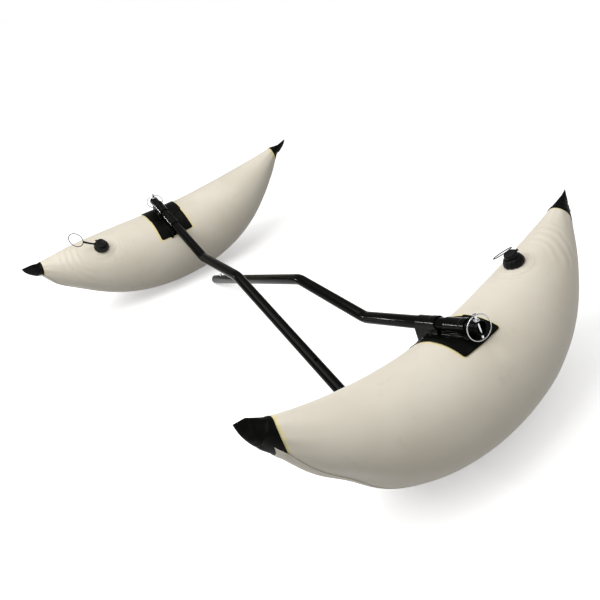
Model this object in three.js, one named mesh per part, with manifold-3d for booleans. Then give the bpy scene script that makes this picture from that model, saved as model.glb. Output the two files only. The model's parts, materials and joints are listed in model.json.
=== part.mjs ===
// A pair of inflatable kayak outriggers, laid out on a floor as they come out of their bag.
// Each unit is a curved PVC float with two sleeve loops, a bent aluminium arm and an air valve.
// Unit frame, in millimetres: +X outboard along the sleeve, +Y towards the valve end, +Z up.
// The float's two tips lie in the plane Z = 0 of that frame.
import * as THREE from 'three';
import { mergeVertices } from 'three/addons/utils/BufferGeometryUtils.js';
import Module from 'manifold-3d';

const wasm = await Module();
wasm.setup();

// Clearances shared by all pieces
const gap = 0.3;
const overrun = 2;

// Float: deck line and keel line, with a round section between them
const floatLength = 980;
const deckSag = 97.6;
const keelDepth = 365.5;
const keelRoundness = 2.31;
const keelFullness = 1.1;
const droopRoundness = 3;
const sides = 28;
const endSteps = 12;
const padSteps = 5;

// Sleeve patch of two fabric sheets, and the arm that lies across it
const fabric = 1.2;
const padLength = 136;
const padLap = 2.5;
const padArcShare = 6 / sides;
const armRadius = 15;
const armWall = 1.5;
const armY = 6;
const armRise = 8.7;
const dentHalf = 22;
const dentEdge = 60;

// Arm, seen along the float: two bends and a long inboard run
const lowBend = 274.6;
const highBend = 501.5;
const armLift = 106.2;
const armInboard = 1080;
const bendRadius = 60;
const bendSteps = 4;
const tubeSides = 18;
const topHoleX = 880;
const topHoleRadius = 4;

// Two loops of fabric round the arm, a little apart
const loopWall = 2.4;
const loopLength = 69;
const loopSpace = 11;
const loopFoot = 24;
const loopFootDepth = 50;
const loopWaistAngle = THREE.MathUtils.degToRad(50);

// Lock pin with its wire ring, which hangs clear of the deck just outboard of the loops
const pinInset = 7;
const pinSpace = 18;
const ringClearance = 3;
const pinRadius = 3;
const ringRadius = 27;
const ringWire = 1.2;
const pinHeadRadius = 4;
const pinHeadHeight = 8;
const pinCollarRadius = 6;
const pinCollarHeight = 2.5;

// Snap buttons on a leaf spring inside the arm's inboard end
const buttonInset = 65;
const buttonRadius = 4.5;
const buttonFlange = 6;
const buttonFlangeHeight = 1.2;
const buttonReach = 7;
const buttonDome = 2.5;
const leafThickness = 0.9;
const leafWidth = 8;
const leafLength = 46;
const leafTip = 8;

// Black end caps of the float, pinched to an upright fin
const capLength = 58;
const capSlant = 7;
const capFinWidth = 1.3;
const capKneeReach = 20.5;
const capPinch = 0.8;
const capEndShare = 0.97;
const capSteps = 6;
const noseLap = 11;

// Keel tape along the belly seam
const tapeWidth = 50;
const tapeThickness = 0.9;
const tapeRamp = 3;
const tapeCells = 8;
const tapeLap = 13;
const tapeArcShare = 3 / sides;

// Air valve on the deck, from the skin upwards
const valveInset = 227;
const discRadius = 43;
const discThickness = 0.9;
const seatRadius = 20;
const seatTop = 5;
const seatTubeRadius = 16;
const seatTubeDepth = 20;
const plugRadius = 13.2;
const plugDepth = 16;
const sealWire = 1.1;
const sealRadius = 17;
const bodyRadius = 24;
const bodySkirt = 2.4;
const bodyTop = 20;
const bodyShoulder = 9;
const bodyCrown = 20;
const neckRadius = 11.5;
const neckHeight = 4;
const airBore = 9;
const flapRadius = 10.6;
const flapThickness = 1;
const flapDepth = 10;
const barWidth = 4;
const barThickness = 2.2;
const stemRadius = 1.2;
const stemHead = 2;
const capRadius = 13.5;
const capHeight = 9.4;
const capPlug = 8.6;
const gasketThickness = 1;
const gripCount = 12;
const gripRadius = 3;
const gripSides = 6;
const capRound = 24;
const round = 20;
const wireSides = 6;

// Cap leash: collar, strap and pull ring
const collarThickness = 2;
const collarRadius = 15;
const strapWidth = 8;
const strapFlat = 26;
const leashReach = 74;
const leashRing = 24;
const leashWire = 1.2;

// How the two units lie and differ: headings on the floor, how far their soft tips hang,
// how far round the deck the valve was welded, and where its leash points
const nearHeading = THREE.MathUtils.degToRad(-58);
const farHeading = THREE.MathUtils.degToRad(116.2);
const spareReach = 56.6;
const sideStep = 29.8;
const nearForeDroop = 3;
const nearAftDroop = -17.2;
const farForeDroop = 70.9;
const farAftDroop = 1;
const nearValveAngle = THREE.MathUtils.degToRad(2.5);
const farValveAngle = THREE.MathUtils.degToRad(-18.5);
const nearLeashHeading = THREE.MathUtils.degToRad(-54);
const nearLeashRise = -26.3;
const farLeashHeading = THREE.MathUtils.degToRad(16.4);
const farLeashRise = 28.5;

// Materials
function finish(color, roughness, metalness = 0) {
  return new THREE.MeshStandardMaterial({ color, roughness, metalness });
}
const paleVinyl = () => finish(0xd9d2c3, 0.45);
const blackVinyl = () => finish(0x171916, 0.5);
const blackAnodised = () => finish(0x15160f, 0.3, 0.6);
const blackPlastic = () => finish(0x1a1b1a, 0.4);
const blackRubber = () => finish(0x141414, 0.8);
const steel = () => finish(0xc9ccd0, 0.25, 1);

// Sizes that follow from the ones above
const halfLength = floatLength / 2;
const capBase = halfLength - capLength;
const valveY = halfLength - valveInset;
const noseY = capBase + noseLap;
const armZ = -deckSag + armRise;
const sheetStep = fabric + gap;
const flatZ = armZ - armRadius - gap - 2 * sheetStep;
const armBore = armRadius - armWall;
const padFrom = armY - padLength / 2;
const padTo = armY + padLength / 2;
const padHalfAngle = padArcShare * Math.PI;
const slope = Math.atan2(armLift, highBend - lowBend);
const deckRadius = (keelDepth - deckSag) / 2;
const ringDrop = ringRadius + ringWire + ringClearance + gap + 2 * sheetStep - armRise;
const pinX = Math.sqrt(ringDrop * (2 * deckRadius - ringDrop));
const armOutboard = pinX + pinInset;
const outboardLoop = { from: pinX - pinSpace - loopLength, to: pinX - pinSpace };
const inboardLoop = { from: outboardLoop.from - loopSpace - loopLength, to: outboardLoop.from - loopSpace };
const buttonX = -(armInboard - buttonInset);
const tiny = floatLength / 10000;

// The far unit lies where the near unit's arm points, a little beyond its end and to one side
const farUnit = new THREE.Vector3(-armInboard - spareReach, -sideStep, 0);
const units = [
  {
    name: 'near', at: new THREE.Vector3(), heading: nearHeading,
    form: { fore: nearForeDroop, aft: nearAftDroop, valve: nearValveAngle },
    leash: { heading: nearLeashHeading, rise: nearLeashRise },
  },
  {
    name: 'far', at: farUnit.applyAxisAngle(new THREE.Vector3(0, 0, 1), nearHeading), heading: farHeading,
    form: { fore: farForeDroop, aft: farAftDroop, valve: farValveAngle },
    leash: { heading: farLeashHeading, rise: farLeashRise },
  },
];

// Closed solid from rings of points that all have the same count, with a fan over each end
function loft(rings) {
  const count = rings[0].length;
  const points = rings.flat();
  const faces = [];
  for (let i = 0; i + 1 < rings.length; i++) {
    for (let k = 0; k < count; k++) {
      const a = i * count + k;
      const b = i * count + (k + 1) % count;
      faces.push([a, b, b + count], [a, b + count, a + count]);
    }
  }
  for (const end of [0, rings.length - 1]) {
    const middle = rings[end].reduce((sum, p) => sum.add(p), new THREE.Vector3());
    points.push(middle.divideScalar(count));
    for (let k = 0; k < count; k++) {
      const face = [points.length - 1, end * count + (k + 1) % count, end * count + k];
      faces.push(end === 0 ? face : face.reverse());
    }
  }
  return closed(points, faces);
}

// Closed thin sheet between two grids of points, given row by row
function sheet(outer, inner) {
  const rows = outer.length;
  const columns = outer[0].length;
  const points = [...outer.flat(), ...inner.flat()];
  const faces = [];
  const half = rows * columns;
  const quad = (a, b, c, d) => faces.push([a, b, c], [a, c, d]);
  for (let i = 0; i + 1 < rows; i++) {
    for (let k = 0; k + 1 < columns; k++) {
      const a = i * columns + k;
      quad(a, a + 1, a + columns + 1, a + columns);
      quad(half + a, half + a + columns, half + a + columns + 1, half + a + 1);
    }
    const left = i * columns;
    const right = left + columns - 1;
    quad(left, left + columns, half + left + columns, half + left);
    quad(right + columns, right, half + right, half + right + columns);
  }
  for (let k = 0; k + 1 < columns; k++) {
    const last = (rows - 1) * columns + k;
    quad(k + 1, k, half + k, half + k + 1);
    quad(last, last + 1, half + last + 1, half + last);
  }
  return closed(points, faces);
}

// Geometry whose faces point out, whichever way round they were listed
function closed(points, faces) {
  const volume = faces.reduce((sum, [a, b, c]) => {
    const cross = new THREE.Vector3().crossVectors(points[b], points[c]);
    return sum + points[a].dot(cross);
  }, 0);
  const order = volume < 0 ? faces.map(([a, b, c]) => [a, c, b]) : faces;
  const geometry = new THREE.BufferGeometry();
  geometry.setFromPoints(points);
  geometry.setIndex(order.flat());
  return geometry;
}

// Booleans: a geometry becomes a solid, and a solid becomes a geometry again
function solid(geometry) {
  const bare = geometry.clone();
  bare.deleteAttribute('normal');
  bare.deleteAttribute('uv');
  const merged = mergeVertices(bare);
  return new wasm.Manifold(new wasm.Mesh({
    numProp: 3,
    vertProperties: new Float32Array(merged.attributes.position.array),
    triVerts: new Uint32Array(merged.index.array),
  }));
}

function geometryOf(body) {
  const mesh = body.getMesh();
  const geometry = new THREE.BufferGeometry();
  geometry.setAttribute('position', new THREE.BufferAttribute(mesh.vertProperties, 3));
  geometry.setIndex(new THREE.BufferAttribute(mesh.triVerts, 1));
  return geometry;
}

const cut = (base, ...tools) => geometryOf(tools.reduce((a, b) => a.subtract(solid(b)), solid(base)));
const join = (base, ...more) => geometryOf(more.reduce((a, b) => a.add(solid(b)), solid(base)));
const common = (a, b) => geometryOf(solid(a).intersect(solid(b)));

// Round shapes that stand along +Z
function disc(radius, from, to, segments = round) {
  const cylinder = new THREE.CylinderGeometry(radius, radius, to - from, segments);
  return cylinder.rotateX(Math.PI / 2).translate(0, 0, (from + to) / 2);
}

function turned(profile, segments = round) {
  const points = profile.map(([r, z]) => new THREE.Vector2(r, z));
  return new THREE.LatheGeometry(points, segments).rotateX(Math.PI / 2);
}

function wireRing(radius, wire, around = round) {
  return new THREE.TorusGeometry(radius, wire, wireSides, around);
}

// How far the soft tips hang at station y
function hang(y, form) {
  return (y > 0 ? form.fore : form.aft) * Math.abs(y / halfLength) ** droopRoundness;
}

// Mid-height and radius of the float's section at station y
function section(y, form) {
  const share = Math.abs(y / halfLength);
  const sag = deckSag * (1 - share * share);
  const depth = keelDepth * (1 - share ** keelRoundness) ** keelFullness;
  return { z: -(sag + depth) / 2 - hang(y, form), radius: (depth - sag) / 2 };
}

// Outward direction of the skin at station y and angle phi, counted from +Z towards +X
function skinNormal(y, phi, form) {
  const before = section(y - tiny, form);
  const after = section(y + tiny, form);
  const along = new THREE.Vector3(0, 2 * tiny, after.z - before.z);
  const taper = (after.radius - before.radius) / along.length();
  along.normalize();
  const up = new THREE.Vector3(0, -along.z, along.y);
  const across = new THREE.Vector3(Math.sin(phi), 0, 0).addScaledVector(up, Math.cos(phi));
  return across.multiplyScalar(Math.sqrt(1 - taper * taper)).addScaledVector(along, -taper);
}

// How much of the dent under the arm is felt at station y
function dentShare(y) {
  const beyond = (Math.abs(y - armY) - dentHalf) / (dentEdge - dentHalf);
  return 1 - THREE.MathUtils.smoothstep(beyond, 0, 1);
}

// Point of the skin, raised by lift along its normal and pressed flat under the arm
function skinPoint(y, phi, lift, form) {
  const { z, radius } = section(y, form);
  const point = skinNormal(y, phi, form).multiplyScalar(radius + lift);
  point.add(new THREE.Vector3(0, y, z));
  point.z -= Math.max(0, point.z - flatZ - lift) * dentShare(y);
  return point;
}

// Stations along the float, closer together under the sleeve patch
function stations(from, to) {
  const span = (a, b, steps) => Array.from({ length: steps }, (_, i) => a + (b - a) * i / steps);
  const all = [
    ...span(-noseY, padFrom, endSteps),
    ...span(padFrom, padTo, padSteps),
    ...span(padTo, noseY, endSteps), noseY,
  ];
  return all.filter((y) => y >= from - tiny && y <= to + tiny);
}

function floatBody(lift, form, from = -noseY, to = noseY) {
  const turn = (k) => 2 * Math.PI * k / sides;
  return loft(stations(from, to).map((y) => (
    Array.from({ length: sides }, (_, k) => skinPoint(y, turn(k), lift, form)))));
}

// Sheet that lies on the skin over the sleeve patch's stations, between two angles
function skinSheet(fromAngle, toAngle, cells, lift, lap, form) {
  const angles = Array.from({ length: cells + 1 }, (_, k) => fromAngle + (toAngle - fromAngle) * k / cells);
  const rows = stations(padFrom, padTo);
  if (lap > 0) rows.splice(0, rows.length, padFrom - lap, ...rows, padTo + lap);
  const grid = (height) => rows.map((y) => angles.map((phi) => skinPoint(y, phi, height, form)));
  return sheet(grid(lift + fabric), grid(lift));
}

function padBase(form) {
  return skinSheet(-padHalfAngle, padHalfAngle, padArcShare * sides, gap, 0, form);
}

function padOverlay(form) {
  return skinSheet(0, padHalfAngle, padArcShare * sides / 2, gap + sheetStep, padLap, form);
}

// Wide tape over the belly seam, whose ends narrow and step up onto the end caps
function keelTape(form) {
  const seat = gap + gap / 2;
  const low = capBase - capSlant - gap;
  const ramp = [low - tapeRamp, low];
  const edges = [...ramp, low + gap + tapeLap];
  const rows = [...edges.map((y) => -y), ...stations(-ramp[0] + overrun, ramp[0] - overrun), ...edges];
  rows.sort((a, b) => a - b);
  const lap = (y) => (fabric + gap) * THREE.MathUtils.clamp((Math.abs(y) - ramp[0]) / tapeRamp, 0, 1);
  const grid = (lift) => rows.map((y) => Array.from({ length: tapeCells + 1 }, (_, k) => {
    const reach = Math.min(tapeWidth / 2 / section(y, form).radius, 2 * tapeArcShare * Math.PI);
    return skinPoint(y, Math.PI + reach * (2 * k / tapeCells - 1), lift + lap(y), form);
  }));
  return sheet(grid(seat + tapeThickness), grid(seat));
}

// Ring of an end cap beyond the float's nose, pinched sideways as share grows from 0 to 1
function finRing(share, end, brim, form) {
  const top = brim[0];
  const low = brim[sides / 2];
  const tipY = end * halfLength;
  const kneeY = end * (halfLength - capKneeReach);
  const sweep = share * Math.PI / 2;
  const topY = share < 0.5
    ? THREE.MathUtils.lerp(top.y, kneeY, 2 * share)
    : THREE.MathUtils.lerp(kneeY, tipY, 2 * share - 1);
  const lowY = THREE.MathUtils.lerp(low.y, tipY, Math.sin(sweep));
  const topZ = (top.z + hang(top.y, form)) * Math.max(0, 1 - 2 * share) - hang(topY, form);
  const lowZ = (low.z + hang(low.y, form)) * Math.cos(sweep) - hang(lowY, form);
  const upper = new THREE.Vector3(0, topY, topZ);
  const middle = new THREE.Vector3(0, lowY, lowZ).add(upper).divideScalar(2);
  const up = upper.sub(middle);
  const half = THREE.MathUtils.lerp(brim[sides / 4].x, capFinWidth, Math.sin(sweep) ** capPinch);
  return Array.from({ length: sides }, (_, k) => {
    const turn = 2 * Math.PI * k / sides;
    const point = middle.clone().addScaledVector(up, Math.cos(turn));
    point.x += half * Math.sin(turn);
    return point;
  });
}

function endCap(end, form) {
  const wall = gap + fabric;
  const skinRing = (station) => Array.from({ length: sides }, (_, k) => {
    const phi = 2 * Math.PI * k / sides;
    return skinPoint(end * station(phi), phi, wall, form);
  });
  const brim = skinRing(() => noseY + wall);
  const rings = [skinRing((phi) => capBase + capSlant * Math.cos(phi)), brim];
  for (let i = 1; i <= capSteps; i++) {
    rings.push(finRing(Math.min(i / capSteps, capEndShare), end, brim, form));
  }
  const inner = capBase - floatLength / 8;
  const room = end > 0
    ? floatBody(gap, form, inner, noseY)
    : floatBody(gap, form, -noseY, -inner);
  return cut(loft(rings), room.translate(0, end * gap, 0));
}

// Centre line of the arm as places and the turn of the tube there, from outboard to inboard
function armLine() {
  const bend = (x, z, from, to) => {
    const reach = bendRadius * Math.tan(slope / 2);
    const side = Math.sign(to - from);
    const start = { x: x + reach * Math.cos(from), z: z - reach * Math.sin(from) };
    const centre = {
      x: start.x + side * bendRadius * Math.sin(from),
      z: start.z + side * bendRadius * Math.cos(from),
    };
    return Array.from({ length: bendSteps + 1 }, (_, i) => {
      const turn = from + (to - from) * i / bendSteps;
      return {
        x: centre.x - side * bendRadius * Math.sin(turn),
        z: centre.z - side * bendRadius * Math.cos(turn),
        turn,
      };
    });
  };
  return [
    { x: armOutboard, z: 0, turn: 0 },
    ...bend(-lowBend, 0, 0, slope),
    ...bend(-highBend, armLift, slope, 0),
    { x: -armInboard, z: armLift, turn: 0 },
  ];
}

function pipe(line, radius) {
  return loft(line.map(({ x, z, turn }) => Array.from({ length: tubeSides }, (_, k) => {
    const phi = 2 * Math.PI * k / tubeSides;
    const rise = radius * Math.cos(phi);
    return new THREE.Vector3(
      x + rise * Math.sin(turn), armY + radius * Math.sin(phi), armZ + z + rise * Math.cos(turn));
  })));
}

function armTube() {
  const line = armLine();
  const longer = line.map((place) => ({ ...place }));
  longer[0].x += overrun;
  longer.at(-1).x -= overrun;
  const hole = (radius, x, z, from, to) => (
    disc(radius, from, to, tubeSides / 2).translate(x, armY, armZ + z));
  const through = armRadius + overrun;
  return cut(
    pipe(line, armRadius), pipe(longer, armBore),
    hole(pinRadius + gap, pinX, 0, -through, through),
    hole(buttonRadius + gap, buttonX, armLift, -through, through),
    hole(topHoleRadius, -topHoleX, armLift, 0, through));
}

// Fabric loop: a band over the arm whose two legs spread down to the sleeve patch
function sleeveLoop({ from, to }, lift, form) {
  const outer = armRadius + gap + loopWall;
  const shape = new THREE.Shape();
  shape.moveTo(-loopFoot, -loopFootDepth);
  shape.absarc(0, 0, outer, Math.PI + loopWaistAngle, -loopWaistAngle, true);
  shape.lineTo(loopFoot, -loopFootDepth);
  const band = new THREE.ExtrudeGeometry(shape, { depth: to - from, bevelEnabled: false, curveSegments: 20 });
  band.applyMatrix4(new THREE.Matrix4().makeBasis(
    new THREE.Vector3(0, 1, 0), new THREE.Vector3(0, 0, 1), new THREE.Vector3(1, 0, 0)));
  band.translate(from, armY, armZ);
  const bore = disc(armRadius + gap, from - overrun, to + overrun, tubeSides);
  bore.rotateY(Math.PI / 2).translate(0, armY, armZ);
  return cut(band, bore, floatBody(lift, form, padFrom - floatLength / 8, padTo + floatLength / 8));
}

// Lock pin with a cross hole in its head, standing across the arm's outboard end
function lockPin() {
  const tail = -(ringRadius - ringWire - 4 * gap);
  const collar = armRadius + gap;
  const headLow = ringRadius - pinHeadHeight / 2;
  const headHigh = ringRadius + pinHeadHeight / 2;
  const pin = turned([
    [0, tail], [pinRadius, tail], [pinRadius, collar], [pinCollarRadius, collar],
    [pinCollarRadius, collar + pinCollarHeight], [pinRadius, collar + pinCollarHeight],
    [pinRadius, headLow], [pinHeadRadius, headLow], [pinHeadRadius, headHigh], [0, headHigh],
  ], tubeSides / 2);
  const eye = disc(ringWire + 3 * gap, -pinCollarRadius, pinCollarRadius, tubeSides / 2);
  eye.rotateX(Math.PI / 2).translate(0, 0, ringRadius);
  return cut(pin, eye).translate(pinX, armY, armZ);
}

function lockRing() {
  return wireRing(ringRadius, ringWire).rotateY(Math.PI / 2).translate(pinX, armY, armZ);
}

// Snap button, its flange inside the arm's wall
function snapButton(side) {
  const flangeTop = Math.sqrt(armBore ** 2 - buttonFlange ** 2) - gap;
  const low = flangeTop - buttonFlangeHeight;
  const high = armRadius + buttonReach;
  const button = turned([
    [0, low], [buttonFlange, low], [buttonFlange, flangeTop], [buttonRadius, flangeTop],
    [buttonRadius, high - buttonDome], [buttonRadius - buttonDome / 2, high - buttonDome / 3], [0, high],
  ], tubeSides / 2);
  return button.rotateX(side > 0 ? 0 : Math.PI).translate(buttonX, armY, armZ + armLift);
}

// V-shaped leaf spring that pushes both buttons out
function snapSpring() {
  const flangeTop = Math.sqrt(armBore ** 2 - buttonFlange ** 2) - gap;
  const leaf = flangeTop - buttonFlangeHeight - gap;
  const fold = leafLength;
  const outer = [[-leafTip, leaf], [leafTip, leaf], [fold, leafThickness], [fold + leafThickness, 0]];
  const inner = [[fold - 3 * leafThickness, 0], [leafTip, leaf - leafThickness], [-leafTip, leaf - leafThickness]];
  const mirror = (list) => list.filter(([, z]) => z !== 0).map(([x, z]) => [x, -z]).reverse();
  const outline = [...outer, ...mirror(outer), ...mirror(inner), ...inner];
  const shape = new THREE.Shape(outline.map(([x, z]) => new THREE.Vector2(x, z)));
  const leafSpring = new THREE.ExtrudeGeometry(shape, { depth: leafWidth, bevelEnabled: false });
  leafSpring.translate(0, 0, -leafWidth / 2).rotateX(Math.PI / 2);
  return leafSpring.translate(buttonX, armY, armZ + armLift);
}

// Frame of the valve: origin on the skin, +Z out of the float, +Y along it
function valveFrame(form) {
  const place = skinPoint(valveY, form.valve, 0, form);
  const out = skinNormal(valveY, form.valve, form);
  const along = skinPoint(valveY + tiny, form.valve, 0, form).sub(place);
  along.addScaledVector(out, -along.dot(out)).normalize();
  const across = new THREE.Vector3().crossVectors(along, out);
  return new THREE.Matrix4().makeBasis(across, along, out).setPosition(place);
}

const inFloat = (tool, form) => tool.applyMatrix4(valveFrame(form));

function valveHole(form) {
  return inFloat(disc(seatTubeRadius + gap, -seatTubeDepth - overrun, seatTubeDepth), form);
}

function valveDisc(form) {
  const around = floatLength / 8;
  const near = (lift) => floatBody(lift, form, valveY - around, valveY + around);
  const column = inFloat(disc(discRadius, -seatTubeDepth, seatTubeDepth), form);
  const skin = common(column, near(gap + discThickness));
  return cut(skin, near(gap), valveHole(form)).applyMatrix4(valveFrame(form).invert());
}

// Threaded seat, welded to the disc, with a tube that reaches into the float
function valveSeat(form) {
  const around = floatLength / 8;
  const lift = 2 * gap + discThickness;
  const skin = floatBody(lift, form, valveY - around, valveY + around);
  const ring = cut(disc(seatRadius, -seatTop, seatTop), skin.applyMatrix4(valveFrame(form).invert()));
  const tube = join(ring, disc(seatTubeRadius, -seatTubeDepth, seatTop));
  return cut(tube, disc(plugRadius + gap, -seatTubeDepth - overrun, seatTop + overrun));
}

const sealTop = seatTop + 2 * gap + 2 * sealWire;

function sealRing() {
  return wireRing(sealRadius, sealWire).translate(0, 0, seatTop + gap + sealWire);
}

// Grip grooves round a cap, as cutting rods
function grips(radius, from, to) {
  return Array.from({ length: gripCount }, (_, k) => {
    const turn = 2 * Math.PI * k / gripCount;
    const rod = disc(gripRadius, from, to, gripSides);
    return rod.translate(radius * Math.cos(turn), radius * Math.sin(turn), 0);
  });
}

// Screw-in valve body with its air bore and the bar that carries the flap
function valveBody() {
  const shell = turned([
    [airBore, bodyTop + neckHeight], [airBore, -flapDepth], [plugRadius - gripRadius / 2, -flapDepth],
    [plugRadius - gripRadius / 2, -plugDepth], [plugRadius, -plugDepth], [plugRadius, sealTop],
    [seatRadius + 2 * gap, sealTop], [seatRadius + 2 * gap, bodySkirt], [bodyRadius, bodySkirt],
    [bodyRadius, bodyShoulder], [bodyRadius - gripRadius / 2, bodyTop - gripRadius],
    [bodyCrown, bodyTop], [neckRadius, bodyTop], [neckRadius, bodyTop + neckHeight],
    [airBore, bodyTop + neckHeight],
  ], capRound);
  const bar = new THREE.BoxGeometry(2 * airBore + gripRadius, barWidth, barThickness);
  bar.translate(0, 0, barThickness / 2 - flapDepth + overrun);
  const grooved = cut(shell, ...grips(bodyRadius + gripRadius / 2, 0, bodyTop - gripRadius));
  return cut(join(grooved, bar), disc(stemRadius + gap, -flapDepth, bodyTop));
}

// One-way rubber flap, its stem through the bar
function valveFlap() {
  const top = -flapDepth - gap;
  const barTop = barThickness - flapDepth + overrun + gap;
  return turned([
    [0, top - flapThickness], [flapRadius, top - flapThickness], [flapRadius, top], [stemRadius, top],
    [stemRadius, barTop], [stemHead, barTop], [stemHead, barTop + stemRadius], [0, barTop + stemRadius],
  ]);
}

const neckTop = bodyTop + neckHeight;
const capLow = bodyTop + collarThickness + 2 * gap;
const capInside = neckTop + gasketThickness + 2 * gap;

function capGasket() {
  const low = neckTop + gap;
  return turned([
    [airBore + gap, low], [neckRadius - gap, low], [neckRadius - gap, low + gasketThickness],
    [airBore + gap, low + gasketThickness], [airBore + gap, low],
  ]);
}

function topCap() {
  const high = capLow + capHeight;
  const cup = turned([
    [0, bodyTop], [capPlug, bodyTop], [capPlug, capInside], [neckRadius + gap, capInside],
    [neckRadius + gap, capLow], [capRadius, capLow], [capRadius, high - gap],
    [capRadius - gripRadius / 2, high], [0, high],
  ], capRound);
  const groove = capRadius + gripRadius - gripRadius / 3;
  return cut(cup, ...grips(groove, capLow + capHeight / 3, high + overrun));
}

// Leash: collar under the top cap, a flat strap and a wire pull ring
function capLeash({ heading, rise }) {
  const low = bodyTop + gap;
  const middle = low + collarThickness / 2;
  const collar = turned([
    [neckRadius + gap, low], [collarRadius, low], [collarRadius, low + collarThickness],
    [neckRadius + gap, low + collarThickness], [neckRadius + gap, low],
  ]);
  const run = leashReach - strapFlat;
  const tilt = Math.atan2(rise, run);
  const strapEnd = leashReach - leashRing * Math.cos(tilt);
  const endZ = middle + rise - leashRing * Math.sin(tilt);
  const line = [[collarRadius - overrun, middle], [strapFlat, middle], [strapEnd, endZ]];
  const strap = loft(line.map(([y, z]) => [[-1, -1], [1, -1], [1, 1], [-1, 1]].map(([a, b]) => (
    new THREE.Vector3(a * strapWidth / 2, y, z + b * collarThickness / 2)))));
  const ring = wireRing(leashRing, leashWire).rotateX(tilt).translate(0, leashReach, middle + rise);
  const leash = join(collar, cut(strap, disc(neckRadius + gap, 0, 2 * bodyTop)), ring);
  return leash.rotateZ(-heading);
}

// All pieces of one unit in its own frame
function makeUnit({ name, form, leash }) {
  const unit = new THREE.Group();
  const valve = new THREE.Group();
  valve.applyMatrix4(valveFrame(form));
  unit.add(valve);
  const add = (group, label, geometry, material) => {
    const flat = geometry.index ? geometry.toNonIndexed() : geometry;
    flat.computeVertexNormals();
    const mesh = new THREE.Mesh(flat, material);
    mesh.name = `${name}_${label}`;
    group.add(mesh);
  };
  add(unit, 'float', cut(floatBody(0, form), valveHole(form)), paleVinyl());
  add(unit, 'keel_tape', keelTape(form), paleVinyl());
  add(unit, 'fore_end_cap', endCap(1, form), blackVinyl());
  add(unit, 'aft_end_cap', endCap(-1, form), blackVinyl());
  add(unit, 'sleeve_patch', padBase(form), blackVinyl());
  add(unit, 'sleeve_overlay', padOverlay(form), blackVinyl());
  add(unit, 'inboard_loop', sleeveLoop(inboardLoop, gap + 2 * sheetStep, form), blackVinyl());
  add(unit, 'outboard_loop', sleeveLoop(outboardLoop, gap + 2 * sheetStep, form), blackVinyl());
  add(unit, 'arm_tube', armTube(), blackAnodised());
  add(unit, 'snap_spring', snapSpring(), steel());
  add(unit, 'upper_snap_button', snapButton(1), steel());
  add(unit, 'lower_snap_button', snapButton(-1), steel());
  add(unit, 'lock_pin', lockPin(), steel());
  add(unit, 'lock_ring', lockRing(), steel());
  add(valve, 'valve_disc', valveDisc(form), paleVinyl());
  add(valve, 'valve_seat', valveSeat(form), blackPlastic());
  add(valve, 'valve_seal', sealRing(), blackRubber());
  add(valve, 'valve_body', valveBody(), blackPlastic());
  add(valve, 'valve_flap', valveFlap(), blackRubber());
  add(valve, 'cap_gasket', capGasket(), blackRubber());
  add(valve, 'valve_cap', topCap(), blackPlastic());
  add(valve, 'cap_leash', capLeash(leash), blackPlastic());
  return unit;
}

// Lowest point of a mesh once the unit is rolled about +Y
function lowest(mesh, roll) {
  const positions = mesh.geometry.attributes.position;
  let low = Infinity;
  for (let i = 0; i < positions.count; i++) {
    low = Math.min(low, positions.getZ(i) * Math.cos(roll) - positions.getX(i) * Math.sin(roll));
  }
  return low;
}

// Roll at which the float's belly and the arm's inboard end touch the same floor
function restingRoll(unit, name) {
  const belly = unit.getObjectByName(`${name}_float`);
  const arm = unit.getObjectByName(`${name}_arm_tube`);
  let level = 0;
  let steep = -Math.PI / 4;
  for (let i = 0; i < 40; i++) {
    const middle = (level + steep) / 2;
    if (lowest(arm, middle) > lowest(belly, middle)) level = middle;
    else steep = middle;
  }
  return (level + steep) / 2;
}

const pair = new THREE.Group();
for (const unit of units) {
  const made = makeUnit(unit);
  const roll = restingRoll(made, unit.name);
  const height = -lowest(made.getObjectByName(`${unit.name}_float`), roll);
  made.rotation.set(0, roll, unit.heading, 'ZYX');
  made.position.set(unit.at.x, unit.at.y, height);
  pair.add(made);
}

// The pair's origin is on the floor, under the middle of its bounding box
pair.updateMatrixWorld(true);
const box = new THREE.Box3().setFromObject(pair, true);
const middle = box.getCenter(new THREE.Vector3());
pair.position.set(-middle.x, -middle.y, -box.min.z);

export default pair;
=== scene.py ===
"""Looks of a pair of inflatable kayak outriggers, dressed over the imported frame.

Lengths are in millimetres in each unit's own frame: +X outboard along the sleeve, +Y towards the
valve end, +Z up. A finished piece has its place in its mesh, in metres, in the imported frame.
"""

import json
import math

import bpy
from mathutils import Matrix, Vector, noise

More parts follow.
